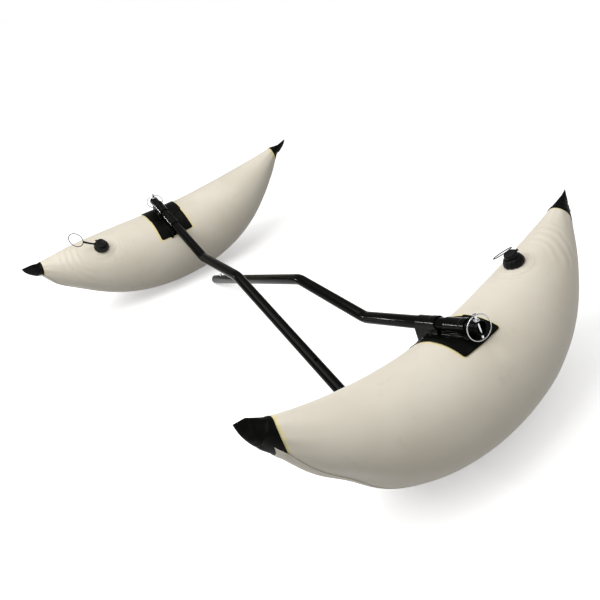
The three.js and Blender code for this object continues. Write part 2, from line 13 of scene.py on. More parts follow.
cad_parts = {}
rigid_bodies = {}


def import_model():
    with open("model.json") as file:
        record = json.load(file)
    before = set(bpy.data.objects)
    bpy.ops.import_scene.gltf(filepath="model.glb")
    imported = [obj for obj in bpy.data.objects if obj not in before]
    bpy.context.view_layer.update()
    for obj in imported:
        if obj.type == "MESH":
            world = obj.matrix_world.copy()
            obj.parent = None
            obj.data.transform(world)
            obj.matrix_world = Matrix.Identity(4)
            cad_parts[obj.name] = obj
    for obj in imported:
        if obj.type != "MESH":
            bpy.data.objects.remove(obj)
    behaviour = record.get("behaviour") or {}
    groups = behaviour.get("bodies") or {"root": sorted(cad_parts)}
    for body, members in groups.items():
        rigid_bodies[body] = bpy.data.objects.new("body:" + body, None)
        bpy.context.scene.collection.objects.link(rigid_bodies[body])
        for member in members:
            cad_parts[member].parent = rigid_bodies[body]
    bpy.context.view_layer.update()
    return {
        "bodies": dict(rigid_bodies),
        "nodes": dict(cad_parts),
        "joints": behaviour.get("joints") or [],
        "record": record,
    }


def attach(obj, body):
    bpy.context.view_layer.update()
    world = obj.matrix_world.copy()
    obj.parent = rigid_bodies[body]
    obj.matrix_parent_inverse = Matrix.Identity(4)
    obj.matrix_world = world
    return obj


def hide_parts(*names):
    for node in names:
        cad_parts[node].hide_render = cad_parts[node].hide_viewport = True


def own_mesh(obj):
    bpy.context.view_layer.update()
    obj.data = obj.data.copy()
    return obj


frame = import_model()

MM = 0.001
SCENE = bpy.context.scene

# How the two units lie on the floor, where each valve sits, and how each end cap was put on.
# A cap has the float's flat end under it, its edge (base, slant, sweep), the width of cement
# along it, the ridge on its keel seam, two points of its top line, the bow of its keel line, and
# where the keel tape stops on it
PAIR_SHIFT = (68.269, -1391.418, 0.687)
REST_HEIGHT = 351.872
REST_ROLL = math.radians(-19.1365)
UNITS = {
    "near": {
        "at": (262, 927.6), "heading": math.radians(-58), "fore_droop": 3, "aft_droop": -17.2,
        "valve_angle": math.radians(2.5), "leash_heading": math.radians(-54), "leash_rise": -26.3,
        "ring_dip": math.radians(3.7), "ring_roll": math.radians(-4.9),
        "patch_edge": math.radians(34.5), "patch_middle": 2.5, "patch_half": 58, "seen_side": 1,
        "belly_flat": 8.5, "keel_tuck": (-290, 48, 8), "tape_reach": 0.86,
        "fore": {"nose": 443, "base": 432, "slant": 8, "sweep": 0, "cement": 4, "ridge": 5,
                 "knee": (474, -8.5), "tip": (491, -1), "bow": 1.15,
                 "tape_end": 438, "tape_curve": 0},
        "aft": {"nose": 443, "base": 436, "slant": 0, "sweep": 26, "cement": 10, "ridge": 6,
                "knee": (465.5, 16), "tip": (489, 19), "bow": 1.15,
                "tape_end": 429, "tape_curve": 12},
    },
    "far": {
        "at": (-365.6, 1875.7), "heading": math.radians(116.2), "fore_droop": 70.9, "aft_droop": 1,
        "valve_angle": math.radians(-18.5), "leash_heading": math.radians(16.4), "leash_rise": 28.5,
        "ring_dip": 0, "ring_roll": 0,
        "patch_edge": math.radians(36.5), "patch_middle": 6.5, "patch_half": 63, "seen_side": -1,
        "belly_flat": 2, "keel_tuck": (380, 45, -9), "tape_reach": 1.1,
        "fore": {"nose": 448, "base": 439.8, "slant": 5.2, "sweep": 0, "cement": 4, "ridge": 8,
                 "knee": (472, -60), "tip": (504, -60), "bow": 1.3,
                 "tape_end": 446, "tape_curve": 0},
        "aft": {"nose": 456, "base": 445.7, "slant": 8, "sweep": 0, "cement": 14, "ridge": 9,
                "knee": (480, -12), "tip": (512, 0), "bow": 1.35,
                "tape_end": 444, "tape_curve": 0},
    },
}

# Float, sleeve and arm, as in the solids
HALF_LENGTH = 490
DECK_SAG = 97.6
KEEL_DEPTH = 365.5
ARM_Y = 6
ARM_Z = -DECK_SAG + 8.7
ARM_RADIUS = 15
ARM_WALL = 1.5
ARM_OUTBOARD = 86.03
ARM_INBOARD = -1080
ARM_LIFT = 106.2
LOW_BEND = -274.6
HIGH_BEND = -501.5
BEND_RADIUS = 60
TOP_HOLE_X = -880
BUTTON_X = -1015
BUTTON_FLANGE = 6
BUTTON_FLOOR = 1.2
LEAF_WIDTH = 8
LEAF_THICK = 0.9
PIN_X = 79.03
RING_RADIUS = 27
RING_WIRE = 1.2
RING_HOLLOW = 2.2
GAP = 0.3
FABRIC = 1.2
SHEET_STEP = FABRIC + GAP
FLAT_Z = ARM_Z - ARM_RADIUS - GAP - 2 * SHEET_STEP
PATCH_INBOARD = math.radians(-38.6)
PATCH_CORNER = 6
LOOPS = {"inboard": (-88, -19, -42), "outboard": (-8, 61, 40)}
LOOP_WALL = 2.1
TAPE_HALF = 25
TAPE_END_HALF = 36
VALVE_Y = 263
SEAT_TOP = 5
BODY_TOP = 20
NECK_TOP = 24
LEASH_REACH = 74
LEASH_RING = 24
LEASH_WIRE = 1.2
STRAP_FLAT = 26
STRAP_WIDTH = 8
STRAP_THICK = 2


# Frames and shapes of the real pieces

def unit_matrix(unit):
    x, y = unit["at"]
    place = Vector(PAIR_SHIFT) + Vector((x, y, REST_HEIGHT))
    turn = Matrix.Rotation(unit["heading"], 4, "Z") @ Matrix.Rotation(REST_ROLL, 4, "Y")
    return Matrix.Translation(place * MM) @ turn @ Matrix.Scale(MM, 4)


def hang(y, unit):
    droop = unit["fore_droop"] if y > 0 else unit["aft_droop"]
    return droop * abs(y / HALF_LENGTH) ** 3


def section(y, unit):
    """Mid-height and radius of the float at station y."""
    share = abs(y / HALF_LENGTH)
    sag = DECK_SAG * (1 - share ** 2)
    depth = KEEL_DEPTH * (1 - share ** 2.31) ** 1.1
    return -(sag + depth) / 2 - hang(y, unit), (depth - sag) / 2


def skin_normal(y, phi, unit):
    tiny = 0.1
    z0, r0 = section(y - tiny, unit)
    z1, r1 = section(y + tiny, unit)
    along = Vector((0, 2 * tiny, z1 - z0))
    taper = (r1 - r0) / along.length
    along.normalize()
    up = Vector((0, -along.z, along.y))
    across = Vector((math.sin(phi), 0, 0)) + up * math.cos(phi)
    return across * math.sqrt(1 - taper ** 2) - along * taper


def dent_share(y):
    beyond = min(max((abs(y - ARM_Y) - 22) / 38, 0), 1)
    return 1 - beyond ** 2 * (3 - 2 * beyond)


def skin_point(y, phi, lift, unit):
    """Point of the float's skin at angle phi from the deck line, raised by lift."""
    z, radius = section(y, unit)
    point = skin_normal(y, phi, unit) * (radius + lift) + Vector((0, y, z))
    point.z -= max(0, point.z - FLAT_Z - lift) * dent_share(y)
    return point


def valve_matrix(unit):
    """Frame of the valve: origin on the skin, +Z out of the float, +Y along it."""
    angle = unit["valve_angle"]
    place = skin_point(VALVE_Y, angle, 0, unit)
    out = skin_normal(VALVE_Y, angle, unit)
    along = skin_point(VALVE_Y + 0.1, angle, 0, unit) - place
    along = (along - out * along.dot(out)).normalized()
    across = along.cross(out)
    return Matrix((
        (across.x, along.x, out.x, place.x),
        (across.y, along.y, out.y, place.y),
        (across.z, along.z, out.z, place.z),
        (0, 0, 0, 1),
    ))


def smooth_step(value, low, high):
    share = min(max((value - low) / (high - low), 0), 1)
    return share * share * (3 - 2 * share)


def cap_of(y, unit):
    return unit["fore"] if y > 0 else unit["aft"]


def cap_base(phi, cap):
    """Station of a cap's edge; sweep carries it further inboard towards the keel."""
    past = min(max((abs(phi) - math.radians(30)) / math.radians(100), 0), 1)
    return cap["base"] + cap["slant"] * math.cos(phi) - cap["sweep"] * past ** 2.2


def cap_lift(y, phi, unit):
    """Height of a cap's outside over the skin, with the ridge of its keel seam."""
    cap = cap_of(y, unit)
    base = cap_base(phi, cap)
    seam = math.exp(-((math.pi - abs(phi)) / 0.3) ** 2)
    ridge = cap["ridge"] * seam * smooth_step(abs(y), base, cap["nose"])
    return SHEET_STEP * smooth_step(abs(y), base - 5, base) + ridge


def tape_half_angle(y, unit):
    half = TAPE_HALF + (TAPE_END_HALF - TAPE_HALF) * smooth_step(abs(y), 200, 320)
    return min(half / section(y, unit)[1], unit["tape_reach"])


# Modelling helpers

def start_clean():
    if bpy.context.object and bpy.context.object.mode != "OBJECT":
        bpy.ops.object.mode_set(mode="OBJECT")
    bpy.ops.object.select_all(action="DESELECT")


def edit_all(*steps):
    """Runs edit-mode operators on the whole of the active piece."""
    bpy.ops.object.mode_set(mode="EDIT")
    bpy.ops.mesh.select_all(action="SELECT")
    for step in steps:
        step()
    bpy.ops.object.mode_set(mode="OBJECT")


def add_modifier(piece, kind, **settings):
    modifier = piece.modifiers.new(kind.title(), kind)
    for name, value in settings.items():
        setattr(modifier, name, value)
    bpy.context.view_layer.objects.active = piece
    bpy.ops.object.modifier_apply(modifier=modifier.name)


def shaped_grid(name, columns, rows, place):
    """A grid whose point at shares (a, b) of its two sides goes to place(a, b)."""
    start_clean()
    bpy.ops.mesh.primitive_grid_add(x_subdivisions=columns, y_subdivisions=rows, size=2)
    piece = bpy.context.object
    piece.name = name
    for vertex in piece.data.vertices:
        a, b = (vertex.co.x + 1) / 2, (vertex.co.y + 1) / 2
        vertex.co = place(a, b)
    return piece


def face_outwards(piece, outward):
    """Turns a sheet's faces over unless its middle face looks along outward."""
    face = piece.data.polygons[len(piece.data.polygons) // 2]
    if face.normal.dot(outward) < 0:
        edit_all(bpy.ops.mesh.flip_normals)


def close_up(piece):
    """Merges meeting edges, fills open ends and turns every face outwards."""
    edit_all(
        lambda: bpy.ops.mesh.remove_doubles(threshold=0.01),
        lambda: bpy.ops.mesh.fill_holes(sides=0),
        lambda: bpy.ops.mesh.select_all(action="SELECT"),
        bpy.ops.mesh.normals_make_consistent,
    )


def lathe(name, profile, columns=64, groove=None):
    """Turns (radius, height) points about Z; groove(turn, height) is taken off the radius."""
    last = len(profile) - 1

    def place(a, b):
        radius, height = profile[round(b * last)]
        turn = 2 * math.pi * a
        if groove:
            radius -= groove(turn, height)
        return Vector((radius * math.cos(turn), radius * math.sin(turn), height))

    piece = shaped_grid(name, columns, last, place)
    close_up(piece)
    return piece


def wire_loop(name, radius, wire):
    """Closed ring of wire about Z."""
    def place(a, b):
        turn, around = 2 * math.pi * a, 2 * math.pi * b
        reach = radius + wire * math.cos(around)
        return Vector((reach * math.cos(turn), reach * math.sin(turn), wire * math.sin(around)))

    piece = shaped_grid(name, 96, 14, place)
    close_up(piece)
    return piece


def drill(piece, radius, low, high, frame=Matrix.Identity(4)):
    """Cuts a round hole along the frame's Z, from low to high."""
    start_clean()
    bpy.ops.mesh.primitive_cylinder_add(vertices=40, radius=radius, depth=high - low)
    cutter = bpy.context.object
    cutter.data.transform(frame @ Matrix.Translation((0, 0, (low + high) / 2)))
    add_modifier(piece, "BOOLEAN", operation="DIFFERENCE", object=cutter, solver="EXACT")
    bpy.data.objects.remove(cutter)


def round_edges(piece, width, angle=50):
    add_modifier(piece, "BEVEL", width=width, segments=2, limit_method="ANGLE",
                 angle_limit=math.radians(angle))


def join_pieces(first, *others):
    start_clean()
    for piece in (first, *others):
        piece.select_set(True)
    bpy.context.view_layer.objects.active = first
    bpy.ops.object.join()
    return first


def finish_piece(piece, matrix, body, material, replaced, smooth_angle=40):
    """Puts a piece in its place, with its material, body and the nodes it replaces."""
    piece.data.transform(matrix)
    piece.matrix_world = Matrix.Identity(4)
    piece.data.materials.clear()
    piece.data.materials.append(material)
    start_clean()
    piece.select_set(True)
    bpy.context.view_layer.objects.active = piece
    bpy.ops.object.shade_smooth_by_angle(angle=math.radians(smooth_angle))
    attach(piece, body)
    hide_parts(*replaced)
    return piece


# Materials

def linear(hex_colour):
    """A colour written as sRGB hex, in linear light."""
    values = [int(hex_colour[i:i + 2], 16) / 255 for i in (1, 3, 5)]
    return tuple(v / 12.92 if v <= 0.04045 else ((v + 0.055) / 1.055) ** 2.4 for v in values) + (1,)


def add_node(tree, kind, inputs=None, **settings):
    """Adds a node with its settings; an input is a value or another node's output."""
    node = tree.nodes.new(kind)
    for name, value in settings.items():
        setattr(node, name, value)
    for name, value in (inputs or {}).items():
        if isinstance(value, bpy.types.NodeSocket):
            tree.links.new(value, node.inputs[name])
        else:
            node.inputs[name].default_value = value
    return node


def new_material(name):
    material = bpy.data.materials.new(name)
    material.use_nodes = True
    material.node_tree.nodes.clear()
    return material, material.node_tree


def finish_material(tree, colour, roughness, bump, **sockets):
    values = {"Base Color": colour, "Roughness": roughness, "Normal": bump}
    values.update({name.replace("_", " "): value for name, value in sockets.items()})
    shader = add_node(tree, "ShaderNodeBsdfPrincipled", values)
    add_node(tree, "ShaderNodeOutputMaterial", {"Surface": shader.outputs["BSDF"]})


def noise_at(tree, size_mm, detail=3.0, **inputs):
    """Noise on Object coordinates whose features are about size_mm across."""
    place = add_node(tree, "ShaderNodeTexCoord").outputs["Object"]
    values = {"Vector": place, "Scale": 1 / (size_mm * MM), "Detail": detail}
    values.update(inputs)
    return add_node(tree, "ShaderNodeTexNoise", values).outputs["Fac"]


def ramp(tree, value, low, high, to_low=0.0, to_high=1.0):
    return add_node(tree, "ShaderNodeMapRange", {
        "Value": value, "From Min": low, "From Max": high, "To Min": to_low, "To Max": to_high,
    }).outputs["Result"]


def blend_colours(tree, share, first, second):
    node = add_node(tree, "ShaderNodeMix", {0: share, 6: first, 7: second}, data_type="RGBA")
    return node.outputs[2]


def calculate(tree, operation, first, second=0.0):
    node = add_node(tree, "ShaderNodeMath", {0: first, 1: second}, operation=operation)
    return node.outputs[0]


def bump_from(tree, height, depth_mm, before=None):
    inputs = {"Height": height, "Distance": depth_mm * MM, "Strength": 1.0}
    if before is not None:
        inputs["Normal"] = before
    return add_node(tree, "ShaderNodeBump", inputs).outputs["Normal"]


def cement_lines(tree, tone):
    """Cured cement squeezed out along the caps and the patch, and a thin old line by the tape."""
    smear = noise_at(tree, 6, 5.0)
    specks = noise_at(tree, 3, 4.0)
    for name, low, high in (("to_cap", 0.25, 1.0), ("to_patch", 0.4, 1.0)):
        edge = add_node(tree, "ShaderNodeAttribute", attribute_name=name).outputs["Fac"]
        seen = calculate(tree, "LESS_THAN", edge, ramp(tree, smear, 0.35, 0.65, low, high))
        strength = calculate(tree, "MULTIPLY", seen, ramp(tree, specks, 0.4, 0.6, 0.55, 0.9))
        tone = blend_colours(tree, strength, tone, linear("#E6D794"))
    tape = add_node(tree, "ShaderNodeAttribute", attribute_name="to_tape").outputs["Fac"]
    line = calculate(tree, "LESS_THAN", tape, ramp(tree, smear, 0.3, 0.7, 0.3, 1.0))
    return blend_colours(tree, calculate(tree, "MULTIPLY", line, 0.7), tone, linear("#B3A06B"))


def coated_fabric_pale(name, cemented):
    # Calendered PVC on polyester: a soft satin sheen, faint cloudiness and a fine leathery grain
    material, tree = new_material(name)
    clouds = noise_at(tree, 160)
    tone = blend_colours(tree, ramp(tree, clouds, 0.35, 0.65), linear("#DAD2C1"), linear("#E1DACB"))
    # Rubbed and slightly grey marks, a few centimetres long
    marks = ramp(tree, noise_at(tree, 34, 5.0), 0.62, 0.75)
    tone = blend_colours(tree, calculate(tree, "MULTIPLY", marks, 0.22), tone, linear("#BDB5A4"))
    if cemented:
        tone = cement_lines(tree, tone)
    roughness = ramp(tree, clouds, 0.3, 0.7, 0.42, 0.52)
    # The grain is really about 0.4 mm; it is drawn at 1.6 mm so that it shows
    bump = bump_from(tree, noise_at(tree, 1.6, 2.0), 0.03)
    bump = bump_from(tree, noise_at(tree, 28, 2.0), 0.25, bump)
    finish_material(tree, tone, roughness, bump, IOR=1.5, Specular_IOR_Level=0.3, Sheen_Weight=0.1,
                    Sheen_Roughness=0.5)
    return material


def coated_fabric_black(name, smooth, rough, crease_mm):
    # The same cloth in black: satin, softly creased, a little grey where it was rubbed
    material, tree = new_material(name)
    marks = ramp(tree, noise_at(tree, 22, 5.0), 0.55, 0.75)
    tone = blend_colours(tree, marks, linear("#060705"), linear("#10110E"))
    roughness = ramp(tree, noise_at(tree, 40), 0.3, 0.7, smooth, rough)
    # The grain is really about 0.4 mm; it is drawn at 1.4 mm so that it shows
    bump = bump_from(tree, noise_at(tree, 1.4, 2.0), crease_mm / 25)
    bump = bump_from(tree, noise_at(tree, 18, 1.0), crease_mm, bump)
    finish_material(tree, tone, roughness, bump, IOR=1.36, Specular_IOR_Level=0.13)
    return material


def anodised_aluminium():
    # Drawn tube, etched and dyed black: smooth, with faint lengthwise drawing lines
    material, tree = new_material("aluminium_drawn_black_anodised")
    marks = ramp(tree, noise_at(tree, 30, 6.0), 0.58, 0.8)
    tone = blend_colours(tree, marks, linear("#070806"), linear("#0F100C"))
    roughness = ramp(tree, noise_at(tree, 12, 4.0), 0.3, 0.7, 0.12, 0.19)
    bump = bump_from(tree, noise_at(tree, 2.5, 3.0), 0.012)
    finish_material(tree, tone, roughness, bump, IOR=1.4, Specular_IOR_Level=0.1)
    return material


def sprung_steel():
    # Polished wire and pin stock: bright, with fine rub marks
    material, tree = new_material("spring_steel_polished")
    rubs = noise_at(tree, 3, 4.0)
    tone = blend_colours(tree, rubs, linear("#C9CBCC"), linear("#E2E3E3"))
    bump = bump_from(tree, rubs, 0.02)
    finish_material(tree, tone, ramp(tree, rubs, 0.3, 0.7, 0.12, 0.24), bump, Metallic=1.0)
    return material


def moulded_nylon():
    # Injection-moulded nylon: even black with a low sheen and a fine mould texture
    material, tree = new_material("nylon_injection_moulded_black")
    tone = blend_colours(tree, noise_at(tree, 12, 3.0), linear("#080908"), linear("#131412"))
    bump = bump_from(tree, noise_at(tree, 1.1, 2.0), 0.03)
    finish_material(tree, tone, ramp(tree, noise_at(tree, 8), 0.3, 0.7, 0.32, 0.45), bump, IOR=1.53,
                    Specular_IOR_Level=0.13)
    return material


def moulded_rubber():
    # Pressed rubber: dull and slightly dusty
    material, tree = new_material("epdm_rubber_compression_moulded")
    tone = blend_colours(tree, noise_at(tree, 6, 3.0), linear("#101010"), linear("#1D1D1C"))
    bump = bump_from(tree, noise_at(tree, 1.0, 2.0), 0.04)
    finish_material(tree, tone, ramp(tree, noise_at(tree, 5), 0.3, 0.7, 0.7, 0.85), bump, IOR=1.5)
    return material


SKIN = coated_fabric_pale("pvc_coated_polyester_calendered_ivory_cemented", True)
PALE = coated_fabric_pale("pvc_coated_polyester_calendered_ivory", False)
BLACK = coated_fabric_black("pvc_coated_polyester_calendered_black", 0.42, 0.55, 0.8)
# Drawn tight over the arm, the cloth shines more
TIGHT = coated_fabric_black("pvc_coated_polyester_calendered_black_drawn_tight", 0.14, 0.2, 0.1)
ANODISED = anodised_aluminium()
STEEL = sprung_steel()
NYLON = moulded_nylon()
RUBBER = moulded_rubber()


# The float and what is welded to it

def ripple(y, phi, unit):
    """Height of the skin's small swells and creases, in millimetres."""
    point = skin_point(y, phi, 0, unit)
    valve = unit["valve_place"]
    away = (point - valve).length
    height = 0.0
    # Weld ring of the valve and the slack rings round it, strongest on the sleeve's side
    if away < 110:
        side = 0.6 - 0.4 * (y - VALVE_Y) / 60
        height -= 0.5 * math.exp(-((away - 39) / 2.5) ** 2)
        height -= 0.6 * math.exp(-((away - 48) / 3.0) ** 2) * side
        height += 0.6 * math.exp(-((away - 56) / 3.5) ** 2) * side
        height += 0.4 * math.exp(-((away - 70) / 5.0) ** 2) * side
    # Shallow arcs in the slack skin between the valve and the fore cap
    slack = smooth_step(away, 62, 80) * (1 - smooth_step(away, 120, 165)) * smooth_step(y, 270, 320)
    height += 0.55 * slack * math.sin(away / 3.1 + 2 * noise.noise((y / 45, 2 * phi, 5)))
    # Puckers that run from the end caps
    reach = max(0, cap_base(phi, cap_of(y, unit)) - abs(y))
    fade = math.exp(-reach / 30) * min(1, reach / 4)
    height += 0.7 * fade * math.sin(9 * phi + 2 * noise.noise((y / 60, phi, 3)))
    # The lower side towards the photographer hangs a little flat, with one dip in it
    apart = (phi * unit["seen_side"] - math.radians(143) + math.pi) % (2 * math.pi) - math.pi
    round_belly = math.exp(-(apart / math.radians(26)) ** 2)
    ends = 1 - smooth_step(abs(y), 300, 415)
    dip = 3.5 * math.exp(-((y + 292) / 34) ** 2) if unit["seen_side"] > 0 else 0
    height -= round_belly * (unit["belly_flat"] * ends + dip)
    # Pinch along the keel seam
    arc = (math.pi - abs(phi)) * section(y, unit)[1]
    height -= 1.2 * math.exp(-(arc / 5) ** 2)
    # The keel is drawn up in one place on the near float, and hangs out in one on the far float
    tuck_y, tuck_half, tuck_depth = unit["keel_tuck"]
    height -= tuck_depth * math.exp(-((y - tuck_y) / tuck_half) ** 2) * math.exp(-(arc / 45) ** 2)
    # Shallow hollow under the lock ring
    beside = math.exp(-((y - ARM_Y) / 17) ** 2) * (1 - smooth_step(phi, 0.75, 1.05))
    height -= RING_HOLLOW * beside * smooth_step(phi, 0.46, 0.55)
    # Soft swells of a hand-filled float
    height += 0.8 * noise.noise(Vector((point.x, point.y, point.z)) / 90)
    # Held smooth under the caps
    base = cap_base(phi, cap_of(y, unit))
    return height * (1 - smooth_step(abs(y), base - 6, base + 2))


def edge_shares(y, phi, unit):
    """How far a point of the skin lies from each seam, as a share of that seam's cement."""
    radius = section(y, unit)[1]
    cap = cap_of(y, unit)
    past_side = abs(y - unit["patch_middle"]) - unit["patch_half"] - 2.5
    past_end = max(phi - unit["patch_edge"], PATCH_INBOARD - phi) * radius - 2.5
    to_patch = math.hypot(max(past_side, 0) / 7, max(past_end, 0) / 2.2)
    return {
        "to_cap": abs(cap_base(phi, cap) - abs(y)) / cap["cement"],
        "to_patch": to_patch,
        "to_tape": abs(math.pi - abs(phi) - tape_half_angle(y, unit)) * radius / 1.5,
    }


def make_float(name, unit, matrix):
    shares = []
    aft, fore = unit["aft"]["nose"], unit["fore"]["nose"]

    def place(a, b):
        y = -aft + (aft + fore) * b
        phi = math.pi * (2 * a - 1)
        shares.append(edge_shares(y, phi, unit))
        return skin_point(y, phi, ripple(y, phi, unit), unit)

    piece = shaped_grid(f"{name}_float_skin", 144, 260, place)
    for edge in shares[0]:
        store = piece.data.attributes.new(edge, "FLOAT", "POINT")
        store.data.foreach_set("value", [row[edge] for row in shares])
    close_up(piece)
    # Pocket that the valve's tube reaches into
    drill(piece, 16.3, -22, 22, valve_matrix(unit))
    return finish_piece(piece, matrix, "floats", SKIN, [f"{name}_float"], 60)


def make_tape(name, unit, matrix):
    seat = GAP + GAP / 2

    def place(a, b):
        across = 2 * a - 1
        ends = [unit[end]["tape_end"] - unit[end]["tape_curve"] * (1 - across ** 2)
                for end in ("aft", "fore")]
        y = -ends[0] + sum(ends) * b
        phi = math.pi + across * tape_half_angle(y, unit)
        turned = phi - 2 * math.pi if phi > math.pi else phi
        lift = seat + cap_lift(y, turned, unit) + ripple(y, turned, unit)
        return skin_point(y, phi, lift, unit)

    piece = shaped_grid(f"{name}_keel_tape_strip", 16, 300, place)
    face_outwards(piece, Vector((0, 0, -1)))
    add_modifier(piece, "SOLIDIFY", thickness=0.6, offset=1)
    return finish_piece(piece, matrix, "floats", PALE, [f"{name}_keel_tape"])


def make_end_cap(name, end, unit, matrix):
    """Cup over the float's nose that is pinched into an upright fin."""
    side = "fore" if end > 0 else "aft"
    cap = unit[side]
    wall = GAP + FABRIC
    brim = cap["nose"] + wall
    top = skin_point(end * brim, 0, wall, unit)
    low = skin_point(end * brim, math.pi, wall + cap["ridge"], unit)
    brim_half = skin_point(end * brim, math.pi / 2, wall, unit).x
    knee_y, knee_z = end * cap["knee"][0], cap["knee"][1]
    tip_y, tip_z = end * cap["tip"][0], cap["tip"][1]

    def place(a, b):
        phi = 2 * math.pi * a
        turned = phi - 2 * math.pi if phi > math.pi else phi
        if b < 0.2:
            base = cap_base(turned, cap)
            y = end * (base + (brim - base) * b / 0.2)
            ripples = 0.5 * noise.noise(Vector((y / 12, 4 * math.cos(phi), 4 * math.sin(phi))))
            lift = max(cap_lift(y, turned, unit), wall) + ripples * min(1, b / 0.04)
            return skin_point(y, phi, lift, unit)
        share = min((b - 0.2) / 0.8, 0.985)
        sweep = share * math.pi / 2
        if share < 0.5:
            top_y = top.y + (knee_y - top.y) * 2 * share
            top_z = top.z + (knee_z - top.z) * 2 * share
        else:
            top_y = knee_y + (tip_y - knee_y) * (2 * share - 1)
            top_z = knee_z + (tip_z - knee_z) * (2 * share - 1)
        low_y = low.y + (tip_y - low.y) * math.sin(sweep)
        low_z = low.z + (tip_z - low.z) * share ** cap["bow"]
        half = brim_half + (1.3 - brim_half) * math.sin(sweep) ** 0.8
        middle = Vector((0, (top_y + low_y) / 2, (top_z + low_z) / 2))
        up = Vector((0, top_y, top_z)) - middle
        point = middle + up * math.cos(phi)
        # A slack crease across each cheek and dimples round it
        crease = 0.22 * math.exp(-((share - 0.42 - 0.1 * math.cos(phi)) / 0.07) ** 2)
        dimple = Vector((7 * share, 2 * math.cos(phi), 2 * math.sin(phi) + end))
        crease += 0.15 * noise.noise(dimple)
        point.x += half * (1 - crease * min(1, 6 * share)) * math.sin(phi)
        return point

    piece = shaped_grid(f"{name}_{side}_end_cap_cloth", 72, 70, place)
    edit_all(lambda: bpy.ops.mesh.remove_doubles(threshold=0.01))
    outward = place(0.25, 0.1) - place(0.75, 0.1)
    face = min(piece.data.polygons, key=lambda f: (f.center - place(0.25, 0.1)).length)
    if face.normal.dot(outward) < 0:
        edit_all(bpy.ops.mesh.flip_normals)
    add_modifier(piece, "SOLIDIFY", thickness=FABRIC, offset=-1)
    return finish_piece(piece, matrix, "floats", BLACK, [f"{name}_{side}_end_cap"])


def make_patch_sheet(name, node, start, lap, layer, unit, matrix):
    """One black sheet of the sleeve patch, with rounded corners, lying on the layers below it."""
    half_length, middle = unit["patch_half"] + lap, unit["patch_middle"]

    def place(a, b):
        y = middle + half_length * math.sin(math.pi / 2 * (2 * b - 1))
        past = max(0, abs(y - middle) - half_length + PATCH_CORNER)
        inset = PATCH_CORNER - math.sqrt(max(0, PATCH_CORNER ** 2 - past ** 2))
        radius = section(y, unit)[1]
        low = start + inset / radius
        high = unit["patch_edge"] + (lap - inset) / radius
        phi = low + (high - low) * a
        lift = GAP + SHEET_STEP * layer + ripple(y, phi, unit)
        # The free edges curl up a little between the welds
        rim = min(a, 1 - a, 2 * b, 2 - 2 * b)
        lift += 0.5 * max(0, 1 - rim / 0.04) * max(0, noise.noise(Vector((y / 15, 3 * phi, layer))))
        return skin_point(y, phi, lift, unit)

    piece = shaped_grid(f"{name}_{node}_sheet", 90, 110, place)
    face_outwards(piece, Vector((0, 0, 1)))
    add_modifier(piece, "SOLIDIFY", thickness=FABRIC, offset=1)
    return finish_piece(piece, matrix, "floats", BLACK, [f"{name}_{node}"])


def patch_height(x, y, layers, unit):
    """Height over the arm's line of the sleeve patch's top, at a place on the deck."""
    lift = GAP + SHEET_STEP * layers
    phi = math.asin(x / (section(y, unit)[1] + lift))
    lift += ripple(y, phi, unit)
    return skin_point(y, phi, lift, unit).z - ARM_Z


def make_loop(name, side, unit, matrix):
    """Band of cloth over the arm: two webs go down beside it and end in welded flanges."""
    start, end, seam = LOOPS[side]
    inner = ARM_RADIUS + GAP
    layers = 2 if side == "outboard" else 1

    def place(a, b):
        across = 2 * b - 1
        hand, share = math.copysign(1, across), abs(across)
        inset = 7 * (1 - smooth_step(share, 0.3, 0.56))
        x = start + inset + (end - start - 2 * inset) * a
        # The cloth lies double on one side of this seam
        reach = inner + 0.7 * smooth_step(x, seam, seam + 1.5)
        if share < 0.42:
            turn = share / 0.42 * math.pi / 2
            dy, dz = reach * math.sin(turn), reach * math.cos(turn)
        else:
            foot = patch_height(x, ARM_Y + hand * (inner + 3), layers, unit)
            fall = min((share - 0.42) / 0.32, 1)
            crease = noise.noise(Vector((x / 13, 4 * fall, hand + layers)))
            dy = reach + 1.6 * fall ** 2 + 1.3 * crease * 4 * fall * (1 - fall)
            dz = (foot + 2.5) * fall
            if share > 0.74:
                spread = (share - 0.74) / 0.26
                dy = reach + 1.6 + 10 * spread
                foot = patch_height(x, ARM_Y + hand * dy, layers, unit)
                dz = foot + 2.5 * max(0, 1 - 3 * spread) ** 2
        return Vector((x, ARM_Y + hand * dy, ARM_Z + dz))

    piece = shaped_grid(f"{name}_{side}_loop_cloth", 80, 90, place)
    face_outwards(piece, Vector((0, 0, 1)))
    add_modifier(piece, "SOLIDIFY", thickness=LOOP_WALL, offset=1)
    return finish_piece(piece, matrix, "floats", TIGHT, [f"{name}_{side}_loop"], 50)


# Arm with its pin, ring and buttons

def arm_line():
    """Stations of the arm from its outboard end: x, height and slope."""
    slope = math.atan2(ARM_LIFT, LOW_BEND - HIGH_BEND)
    reach = BEND_RADIUS * math.tan(slope / 2)
    line = [(ARM_OUTBOARD, 0, 0)]
    for x, z, first, last in ((LOW_BEND, 0, 0, slope), (HIGH_BEND, ARM_LIFT, slope, 0)):
        side = 1 if last > first else -1
        centre_x = x + reach * math.cos(first) + side * BEND_RADIUS * math.sin(first)
        centre_z = z - reach * math.sin(first) + side * BEND_RADIUS * math.cos(first)
        for step in range(17):
            turn = first + (last - first) * step / 16
            line.append((centre_x - side * BEND_RADIUS * math.sin(turn),
                         centre_z - side * BEND_RADIUS * math.cos(turn), turn))
    return line + [(ARM_INBOARD, ARM_LIFT, 0)]


